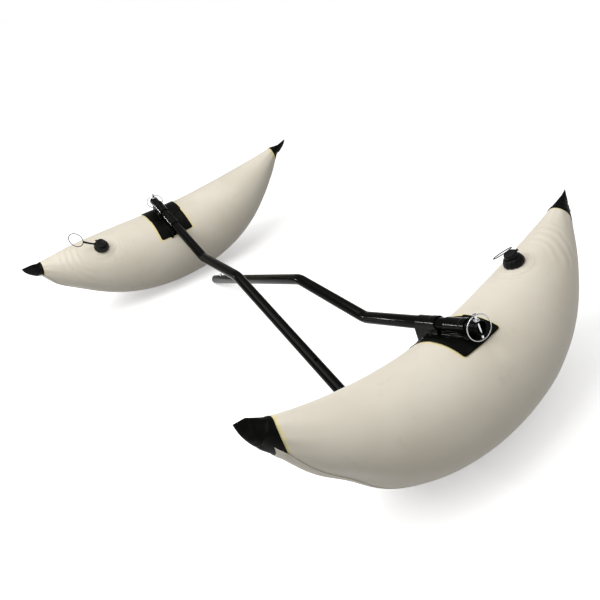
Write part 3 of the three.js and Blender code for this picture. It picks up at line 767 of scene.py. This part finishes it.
def make_arm(name, matrix):
    line = arm_line()

    def place(a, b):
        x, z, turn = line[round(b * (len(line) - 1))]
        phi = 2 * math.pi * a
        rise = ARM_RADIUS * math.cos(phi)
        return Vector((x + rise * math.sin(turn), ARM_Y + ARM_RADIUS * math.sin(phi),
                       ARM_Z + z + rise * math.cos(turn)))

    piece = shaped_grid(f"{name}_arm_tube_drawn", 64, len(line) - 1, place)
    edit_all(
        lambda: bpy.ops.mesh.remove_doubles(threshold=0.01),
        lambda: bpy.ops.mesh.normals_make_consistent(inside=False),
    )
    add_modifier(piece, "SOLIDIFY", thickness=ARM_WALL, offset=-1)
    round_edges(piece, 0.4, 60)
    for x, z, radius, low in (
        (PIN_X, 0, 3.3, -20), (BUTTON_X, ARM_LIFT, 4.8, -20), (TOP_HOLE_X, ARM_LIFT, 4, 0),
    ):
        drill(piece, radius, low, 20, Matrix.Translation((x, ARM_Y, ARM_Z + z)))
    return finish_piece(piece, matrix, f"{name}_arm", ANODISED,
                        [f"{name}_arm_tube"], 30)


def make_pin_and_ring(name, matrix):
    seat = matrix @ Matrix.Translation((PIN_X, ARM_Y, ARM_Z))
    collar = ARM_RADIUS + GAP
    pin = lathe(f"{name}_lock_pin_turned", [
        (0, -24.6), (1.2, -24.4), (2.2, -23.8), (2.8, -22.9), (3, -21.8), (3, collar), (6, collar),
        (6, collar + 2.5), (3, collar + 2.5), (3, 23), (4, 23), (4, 31), (0, 31),
    ], 40)
    round_edges(pin, 0.35)
    eye = Matrix.Translation((0, 0, RING_RADIUS)) @ Matrix.Rotation(math.pi / 2, 4, "X")
    drill(pin, RING_WIRE + 3 * GAP, -8, 8, eye)
    finish_piece(pin, seat, f"{name}_pin", STEEL, [f"{name}_lock_pin"])
    ring = wire_loop(f"{name}_lock_ring_wire", RING_RADIUS, RING_WIRE)
    # It hangs a little turned about the pin
    turned = Matrix.Rotation(math.radians(-15), 4, "Z")
    upright = seat @ turned @ Matrix.Rotation(math.pi / 2, 4, "Y")
    finish_piece(ring, upright, f"{name}_ring", STEEL, [f"{name}_lock_ring"])


def button_seat():
    """Height over the arm's line at which a button's flange meets the inside of the tube."""
    return math.sqrt((ARM_RADIUS - ARM_WALL) ** 2 - BUTTON_FLANGE ** 2) - GAP


def make_buttons(name, matrix):
    inside = button_seat()
    for side, turn in (("upper", 0), ("lower", math.pi)):
        piece = lathe(f"{name}_{side}_button_turned", [
            (0, inside - BUTTON_FLOOR), (BUTTON_FLANGE, inside - BUTTON_FLOOR),
            (BUTTON_FLANGE, inside), (4.5, inside), (4.5, 19.4), (4.2, 20.6), (3.4, 21.4),
            (2, 21.9), (0, 22),
        ], 40)
        place = Matrix.Translation((BUTTON_X, ARM_Y, ARM_Z + ARM_LIFT))
        place = place @ Matrix.Rotation(turn, 4, "X")
        finish_piece(piece, matrix @ place, f"{name}_{side}_button", STEEL,
                     [f"{name}_{side}_snap_button"])


def make_leaf_spring(name, matrix):
    """V-shaped leaf that pushes both buttons out; the real leaf closes as they are pressed, but
    this piece keeps its open shape.
    """
    leaf = button_seat() - BUTTON_FLOOR - GAP
    # Flat under each button, then straight down to the tight bend at the leaf's end
    upper = [(-8, leaf), (0, leaf), (8, leaf), (16, leaf - 1.7), (24, leaf - 3.4),
             (32, leaf - 5.1), (40, leaf - 6.9), (43.5, 2.2), (45.3, 1.3)]
    path = upper + [(46.2, 0)] + [(x, -z) for x, z in reversed(upper)]

    def place(a, b):
        x, z = path[round(b * (len(path) - 1))]
        return Vector((x, LEAF_WIDTH * (a - 0.5), z))

    piece = shaped_grid(f"{name}_leaf_spring_bent", 6, len(path) - 1, place)
    face_outwards(piece, Vector((1, 0, 0)))
    add_modifier(piece, "SOLIDIFY", thickness=LEAF_THICK, offset=-1)
    round_edges(piece, 0.15)
    seat = matrix @ Matrix.Translation((BUTTON_X, ARM_Y, ARM_Z + ARM_LIFT))
    finish_piece(piece, seat, f"{name}_arm", STEEL, [f"{name}_snap_spring"])
    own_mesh(piece)


# Valve, from the skin upwards

def make_valve_disc(name, unit, matrix):
    """Pale disc welded on the skin round the valve, with its edge and weld rings."""
    angle = unit["valve_angle"]
    here = skin_point(VALVE_Y, angle, 0, unit)
    pace = 0.1 / (skin_point(VALVE_Y + 0.1, angle, 0, unit) - here).length
    rings = [16.3, 20, 24, 28, 30, 31, 32, 34, 36, 37, 38, 40, 41.5, 42.5, 43]

    def place(a, b):
        turn = 2 * math.pi * a
        radius = rings[round(b * (len(rings) - 1))]
        y = VALVE_Y + radius * math.cos(turn) * pace
        phi = angle + radius * math.sin(turn) / section(y, unit)[1]
        weld = 0.7 * math.exp(-((radius - 31) / 1.2) ** 2)
        weld += 0.4 * math.exp(-((radius - 37) / 1.2) ** 2)
        weld += 0.6 * smooth_step(radius, 38, 43)
        return skin_point(y, phi, GAP + ripple(y, phi, unit) - weld, unit)

    piece = shaped_grid(f"{name}_valve_disc_sheet", 96, len(rings) - 1, place)
    edit_all(lambda: bpy.ops.mesh.remove_doubles(threshold=0.01))
    face_outwards(piece, Vector((0, 0, 1)))
    add_modifier(piece, "SOLIDIFY", thickness=0.9, offset=1)
    return finish_piece(piece, matrix, "floats", PALE, [f"{name}_valve_disc"], 50)


def thread(radius, depth, low, high, pitch=2.2):
    """Rounded thread ridges between two heights of a turned profile."""
    steps = round((high - low) / pitch * 4)
    return [(radius - depth * (0, 0.5, 1, 0.5)[i % 4], low + (high - low) * i / steps)
            for i in range(steps + 1)]


def grip_grooves(depth, low, high):
    def groove(turn, height):
        inside = smooth_step(height, low, low + 0.6) * (1 - smooth_step(height, high - 2.5, high))
        return depth * inside * max(0, math.cos(12 * turn)) ** 1.5
    return groove


def make_valve(name, unit, matrix):
    base = matrix @ valve_matrix(unit)
    seat = lathe(f"{name}_valve_seat_moulded", [
        (13.5, SEAT_TOP), (13.5, -20), (16, -20), (16, -2), (20, -2.5), (20, SEAT_TOP),
        (13.5, SEAT_TOP),
    ])
    round_edges(seat, 0.4)
    finish_piece(seat, base, "floats", NYLON, [f"{name}_valve_seat"])

    seal = wire_loop(f"{name}_valve_seal_ring", 17, 1.1)
    lifted = base @ Matrix.Translation((0, 0, SEAT_TOP + GAP + 1.1))
    finish_piece(seal, lifted, f"{name}_valve_carrier", RUBBER,
                 [f"{name}_valve_seal"])

    insert = f"{name}_valve_insert"
    body = lathe(f"{name}_valve_body_moulded", [
        (9, NECK_TOP), (9, -10), (11.7, -10), (11.7, -16), (12.6, -16),
        *thread(13.2, 0.7, -15, 4), (13.2, 5), (13.2, 7.8), (20.6, 7.8), (20.6, 2.4), (23.2, 2.4),
        (23.8, 2.8), (24, 3.6), (24, 6), (24, 8), (23.6, 10), (22.9, 12), (22.1, 14), (21.2, 16),
        (20.2, 17.6), (19, 19), (17.8, 19.8), (16.6, BODY_TOP), (14, BODY_TOP), (12.2, 20.1),
        (11.5, 20.8), (11.5, NECK_TOP), (9, NECK_TOP),
    ], 144, grip_grooves(1.7, 2, 19))
    start_clean()
    bpy.ops.mesh.primitive_cube_add(size=1)
    bar = bpy.context.object
    bar.data.transform(Matrix.Translation((0, 0, -6.9)) @ Matrix.Diagonal((21, 4, 2.2, 1)))
    add_modifier(body, "BOOLEAN", operation="UNION", object=bar, solver="EXACT")
    bpy.data.objects.remove(bar)
    drill(body, 1.5, -12, 15)
    finish_piece(body, base, insert, NYLON, [f"{name}_valve_body"], 35)

    flap = lathe(f"{name}_valve_flap_pressed", [
        (0, -11.3), (9, -11.4), (10.6, -11.2), (10.6, -10.6), (9, -10.3), (1.2, -10.3), (1.2, -5.5),
        (2, -5.5), (2, -4.8), (1.4, -4.3), (0, -4.3),
    ])
    finish_piece(flap, base, insert, RUBBER, [f"{name}_valve_flap"])

    cap = lathe(f"{name}_valve_cap_moulded", [
        (0, 20.2), (7.6, 20.2), (8.4, 20.8), (8.6, 21.6), (8.6, 25.6), (11.8, 25.6), (11.8, 22.6),
        (14.8, 22.6), (15.3, 23), (15.4, 24), (15.4, 24.8), (15.3, 25.6), (15.1, 27), (14.8, 28.6),
        (14.3, 30), (13.6, 31.1), (12.6, 31.8), (11.4, 32), (9.8, 31.7), (9.2, 31.2), (0, 31.1),
    ], 144, grip_grooves(1.0, 24.4, 32.5))
    # Small lug that the thumb lifts the cap by
    start_clean()
    bpy.ops.mesh.primitive_cube_add(size=1)
    lug = bpy.context.object
    lug.data.transform(Matrix.Translation((10.5, 10.5, 30)) @ Matrix.Rotation(math.pi / 4, 4, "Z")
                       @ Matrix.Diagonal((8, 6, 3.6, 1)))
    round_edges(lug, 1)
    add_modifier(cap, "BOOLEAN", operation="UNION", object=lug, solver="EXACT")
    bpy.data.objects.remove(lug)
    finish_piece(cap, base, f"{name}_cap", NYLON, [f"{name}_valve_cap"], 35)

    gasket = lathe(f"{name}_cap_gasket_cut", [
        (9.3, 24.3), (11.2, 24.3), (11.2, 25.3), (9.3, 25.3), (9.3, 24.3),
    ])
    finish_piece(gasket, base, f"{name}_cap", RUBBER, [f"{name}_cap_gasket"])
    make_leash(name, unit, base @ Matrix.Rotation(-unit["leash_heading"], 4, "Z"))


def make_leash(name, unit, base):
    """Collar, moulded strap and pull ring of the top cap."""
    middle = BODY_TOP + GAP + STRAP_THICK / 2
    tilt = math.atan2(unit["leash_rise"], LEASH_REACH - STRAP_FLAT)
    collar = lathe(f"{name}_cap_leash_moulded", [
        (11.8, middle - 1), (14.4, middle - 1), (15, middle - 0.5), (15, middle + 0.5),
        (14.4, middle + 1), (11.8, middle + 1), (11.8, middle - 1),
    ], 72)
    end = Vector((LEASH_REACH - LEASH_RING * math.cos(tilt),
                  middle + unit["leash_rise"] - LEASH_RING * math.sin(tilt)))

    def place(a, b):
        # The strap leaves the collar level and bends over to the ring's tilt
        first, turn = Vector((13, middle)), Vector((STRAP_FLAT, middle))
        spot = first * (1 - b) ** 2 + turn * 2 * b * (1 - b) + end * b ** 2
        way = ((turn - first) * (1 - b) + (end - turn) * b).normalized()
        corner = 2 * math.pi * a + math.pi / 4
        wide = math.copysign(abs(math.cos(corner)) ** 0.35, math.cos(corner))
        thick = math.copysign(abs(math.sin(corner)) ** 0.35, math.sin(corner))
        width = STRAP_WIDTH * (0.5 - 0.1 * math.sin(math.pi * b))
        out = Vector((-way.y, way.x)) * thick * STRAP_THICK / 2
        return Vector((wide * width, spot.x + out.x, spot.y + out.y))

    strap = shaped_grid(f"{name}_strap", 24, 24, place)
    close_up(strap)
    ring = wire_loop(f"{name}_pull_ring", LEASH_RING, LEASH_WIRE)
    ring.data.transform(Matrix.Translation((0, *end))
                        @ Matrix.Rotation(tilt + unit["ring_dip"], 4, "X")
                        @ Matrix.Rotation(unit["ring_roll"], 4, "Y")
                        @ Matrix.Translation((0, LEASH_RING, 0)))
    leash = join_pieces(collar, strap, ring)
    return finish_piece(leash, base, f"{name}_leash", NYLON, [f"{name}_cap_leash"])


for name, unit in UNITS.items():
    matrix = unit_matrix(unit)
    unit["valve_place"] = valve_matrix(unit).translation
    make_float(name, unit, matrix)
    make_tape(name, unit, matrix)
    for end in (1, -1):
        make_end_cap(name, end, unit, matrix)
    make_patch_sheet(name, "sleeve_patch", PATCH_INBOARD, 0, 0, unit, matrix)
    make_patch_sheet(name, "sleeve_overlay", math.radians(-2), 2.5, 1, unit, matrix)
    for side in LOOPS:
        make_loop(name, side, unit, matrix)
    make_arm(name, matrix)
    make_pin_and_ring(name, matrix)
    make_buttons(name, matrix)
    make_leaf_spring(name, matrix)
    make_valve_disc(name, unit, matrix)
    make_valve(name, unit, matrix)

# The solids take the same finishes, though each is hidden now, because a piece stands for it
CAD_FINISHES = {
    "pale_vinyl": PALE, "black_vinyl": BLACK, "black_anodised": ANODISED,
    "spring_steel": STEEL, "black_plastic": NYLON, "black_rubber": RUBBER,
}
slot_of = {part["node"]: part["material_slot"] for part in frame["record"]["subparts"]}
for node, cad_piece in frame["nodes"].items():
    cad_piece.data.materials.clear()
    cad_piece.data.materials.append(CAD_FINISHES[slot_of[node]])


# Floor, light and camera

FLOOR_DROP = 0.3
PAPER_GLOW = 0.42
SKY_STRENGTH = 0.36


def white_backdrop():
    # Matt studio paper: white where the camera or a glossy surface sees it, and grey in the light
    # it gives back. Transmission rays are left out, and nothing here lets light through
    material, tree = new_material("studio_paper_matt_white")
    rays = add_node(tree, "ShaderNodeLightPath")
    seen = calculate(tree, "MAXIMUM", rays.outputs["Is Camera Ray"], rays.outputs["Is Glossy Ray"])
    colour = blend_colours(tree, seen, linear("#929292"), linear("#F9F9F9"))
    paper = add_node(tree, "ShaderNodeBsdfDiffuse", {"Color": colour})
    strength = calculate(tree, "MULTIPLY", seen, PAPER_GLOW)
    glow = add_node(tree, "ShaderNodeEmission", {"Strength": strength})
    both = add_node(tree, "ShaderNodeAddShader", {0: paper.outputs[0], 1: glow.outputs[0]})
    add_node(tree, "ShaderNodeOutputMaterial", {"Surface": both.outputs[0]})
    return material


start_clean()
bpy.ops.mesh.primitive_plane_add(size=60, location=(0, 0, -FLOOR_DROP * MM))
floor = bpy.context.object
floor.name = "studio_floor"
floor.data.materials.append(white_backdrop())

world = bpy.data.worlds.new("studio")
SCENE.world = world
world.use_nodes = True
world.node_tree.nodes.clear()
# Known fault: Is Glossy Ray is missing here, so glossy surfaces mirror a grey sky, not a white one
rays = add_node(world.node_tree, "ShaderNodeLightPath")
seen = calculate(world.node_tree, "MAXIMUM", rays.outputs["Is Camera Ray"],
                 rays.outputs["Is Transmission Ray"])
strength = ramp(world.node_tree, seen, 0, 1, SKY_STRENGTH, 1.0)
sky = add_node(world.node_tree, "ShaderNodeBackground",
               {"Color": (1, 1, 1, 1), "Strength": strength})
add_node(world.node_tree, "ShaderNodeOutputWorld", {"Surface": sky.outputs[0]})


def add_lamp(name, kind, energy, place, target):
    bpy.ops.object.light_add(type=kind)
    lamp = bpy.context.object
    lamp.name = name
    lamp.data.energy = energy
    lamp.location = place
    lamp.rotation_euler = (Vector(target) - Vector(place)).to_track_quat("-Z", "Y").to_euler()
    return lamp.data


# A large soft box over the space between the two floats
add_lamp("studio_soft_box", "AREA", 29, (-0.88, -0.48, 1.78), (-0.1, 0.2, 0.2)).size = 1.6

# Even light from a wide white ceiling
add_lamp("studio_ceiling", "SUN", 0.7, (-0.3, 0, 3), (0, 0, 0)).angle = math.radians(70)

# A low narrow lamp, which draws the thin bright line along the dark tubes
add_lamp("studio_edge_lamp", "SUN", 0.6, (-9.19, 3.64, 1.53), (0, 0, 0)).angle = math.radians(2.5)

# The camera stands where the photographer stood, tilted as the photograph is
CAMERA_DOWN = math.radians(33.07)
CAMERA_ROLL = math.radians(-14.53)
CAMERA_HEIGHT = 1008.23
bpy.ops.object.camera_add()
camera = bpy.context.object
camera.name = "studio_camera"
camera.data.lens = 34
camera.data.sensor_width = 36
forward = Vector((0, math.cos(CAMERA_DOWN), -math.sin(CAMERA_DOWN)))
upward = Vector((0, math.sin(CAMERA_DOWN), math.cos(CAMERA_DOWN)))
right = Vector((1, 0, 0))
tilted_right = right * math.cos(CAMERA_ROLL) + upward * math.sin(CAMERA_ROLL)
tilted_up = upward * math.cos(CAMERA_ROLL) - right * math.sin(CAMERA_ROLL)
turn = Matrix((tilted_right, tilted_up, -forward)).transposed().to_4x4()
place = (Vector(PAIR_SHIFT) + Vector((0, 0, CAMERA_HEIGHT))) * MM
camera.matrix_world = Matrix.Translation(place) @ turn
SCENE.camera = camera
SCENE.view_settings.view_transform = "Standard"
